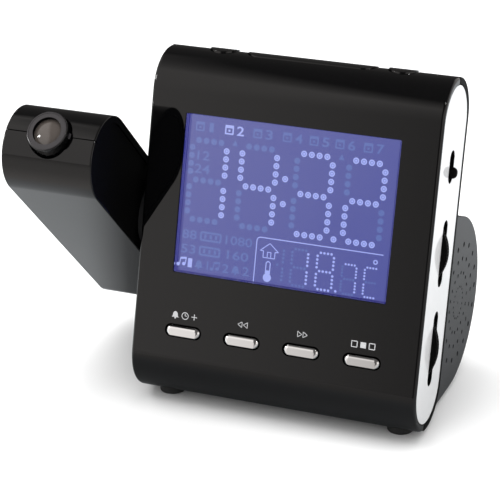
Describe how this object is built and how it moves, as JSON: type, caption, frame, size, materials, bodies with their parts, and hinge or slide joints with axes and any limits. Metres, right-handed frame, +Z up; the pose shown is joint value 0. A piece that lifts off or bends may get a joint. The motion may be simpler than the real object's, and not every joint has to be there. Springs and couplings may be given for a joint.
{
  "type": "projection alarm clock",
  "caption": "Leaning alarm clock with a lit display, front and top keys, side thumbwheels, a drum-shaped speaker housing behind and a swivelling projector arm.",
  "frame": {"origin": "under the middle of the whole object, at the underside of the feet", "axes": "+X from the projector arm to the side controls, +Y from the display to the rear housing, +Z up"},
  "size_m": [0.1362, 0.1028, 0.1166],
  "materials": {
    "gloss_black": "piano black, polished",
    "satin_black": "fine satin",
    "housing_grey": "charcoal satin",
    "gloss_white": "polished",
    "chrome_plate": "bright plated",
    "foot_rubber": "matte",
    "steel": "zinc plated",
    "window": "clear, polished",
    "display": "lit blue liquid crystal",
    "light_plate": "clear acrylic, white backed",
    "circuit_board": "solder mask",
    "elastomer": "matte",
    "copper": "enamelled wire",
    "ferrite": "unpainted ceramic",
    "wire": "insulated wire",
    "cone": "paper",
    "lens": "coated"
  },
  "bodies": {
    "case": {"front_shell": "gloss_black", "rear_shell": "gloss_black", "side_panel_right": "gloss_white", "side_panel_left": "satin_black", "rear_housing": "housing_grey", "speaker_grille": "housing_grey", "rubber_feet": "foot_rubber", "case_screws": "steel", "housing_screws": "steel", "display_window": "window", "display_glass": "display", "light_guide": "light_plate", "display_frame": "gloss_white", "display_connector": "elastomer", "display_board": "circuit_board", "front_key_board": "circuit_board", "top_key_board": "circuit_board", "key_switches": "steel", "slide_switch": "steel", "tuning_capacitor": "gloss_white", "volume_control": "steel", "main_board": "circuit_board", "board_chips": "satin_black", "ferrite_rod": "ferrite", "antenna_coils": "copper", "dc_jack": "satin_black", "projector_wires": "wire", "speaker_frame": "steel", "speaker_magnet": "satin_black", "speaker_cone": "cone", "battery_tray": "housing_grey", "battery_contacts": "chrome_plate"},
    "projector_arm": {"arm_front_shell": "gloss_black", "arm_rear_shell": "gloss_black", "arm_outer_panel": "gloss_white", "arm_inner_panel": "satin_black", "arm_screws": "steel", "pivot_hub": "satin_black", "friction_washer": "steel", "hub_retainer": "steel", "projector_barrel": "satin_black", "projector_board": "circuit_board", "projector_led": "gloss_white", "optics_spacers": "satin_black", "condenser_lens": "lens", "projector_lcd": "display"},
    "focus_ring": {"focus_ring": "housing_grey"},
    "lens_cell": {"lens_cell": "satin_black", "front_lens": "lens"},
    "alarm_key": {"alarm_key": "chrome_plate"},
    "back_key": {"back_key": "chrome_plate"},
    "forward_key": {"forward_key": "chrome_plate"},
    "mode_key": {"mode_key": "chrome_plate"},
    "snooze_bar": {"snooze_bar": "gloss_black"},
    "top_left_key": {"top_left_key": "gloss_black"},
    "top_right_key": {"top_right_key": "gloss_black"},
    "switch_knob": {"switch_knob": "satin_black"},
    "tuning_wheel": {"tuning_wheel": "satin_black"},
    "volume_wheel": {"volume_wheel": "satin_black"},
    "battery_door": {"battery_door": "housing_grey"}
  },
  "joints": [
    {"name": "projector_tilt", "type": "hinge", "parent": "case", "child": "projector_arm", "pos_m": [0.016, -0.00194, 0.05911], "axis": [1, 0, 0], "range_deg": [-120.4, 59.6]},
    {"name": "focus_turn", "type": "hinge", "parent": "projector_arm", "child": "focus_ring", "pos_m": [-0.05217, -0.04419, 0.09921], "axis": [0, -0.7254, 0.6884], "range_deg": [-60, 60]},
    {"name": "focus_slide", "type": "slide", "parent": "projector_arm", "child": "lens_cell", "axis": [0, -0.7254, 0.6884], "range_m": [-0.00078, 0.00078]},
    {"name": "alarm_key_press", "type": "slide", "parent": "case", "child": "alarm_key", "axis": [0, 0.9707, -0.2402], "range_m": [0, 0.0005], "stiffness_N_per_m": 300},
    {"name": "back_key_press", "type": "slide", "parent": "case", "child": "back_key", "axis": [0, 0.9707, -0.2402], "range_m": [0, 0.0005], "stiffness_N_per_m": 300},
    {"name": "forward_key_press", "type": "slide", "parent": "case", "child": "forward_key", "axis": [0, 0.9707, -0.2402], "range_m": [0, 0.0005], "stiffness_N_per_m": 300},
    {"name": "mode_key_press", "type": "slide", "parent": "case", "child": "mode_key", "axis": [0, 0.9707, -0.2402], "range_m": [0, 0.0005], "stiffness_N_per_m": 300},
    {"name": "snooze_bar_press", "type": "slide", "parent": "case", "child": "snooze_bar", "axis": [0, -0.2402, -0.9707], "range_m": [0, 0.0005], "stiffness_N_per_m": 600},
    {"name": "top_left_key_press", "type": "slide", "parent": "case", "child": "top_left_key", "axis": [0, -0.2402, -0.9707], "range_m": [0, 0.0005], "stiffness_N_per_m": 600},
    {"name": "top_right_key_press", "type": "slide", "parent": "case", "child": "top_right_key", "axis": [0, -0.2402, -0.9707], "range_m": [0, 0.0005], "stiffness_N_per_m": 600},
    {"name": "switch_slide", "type": "slide", "parent": "case", "child": "switch_knob", "axis": [0, 0.2402, 0.9707], "range_m": [-0.0018, 0.0053]},
    {"name": "tuning_wheel_turn", "type": "hinge", "parent": "case", "child": "tuning_wheel", "pos_m": [0.0545, -0.00173, 0.05994], "axis": [0, 0.9707, -0.2402], "range_deg": [-90, 90]},
    {"name": "volume_wheel_turn", "type": "hinge", "parent": "case", "child": "volume_wheel", "pos_m": [0.0515, -0.00932, 0.02926], "axis": [0, 0.9707, -0.2402], "range_deg": [-140, 140]},
    {"name": "battery_door_lift", "type": "slide", "parent": "case", "child": "battery_door", "axis": [0, 1, 0], "range_m": [0, 0.03]}
  ],
  "couplings": [
    {"joint": "focus_turn", "follows": "focus_slide", "rad_per_m": 1309}
  ]
}
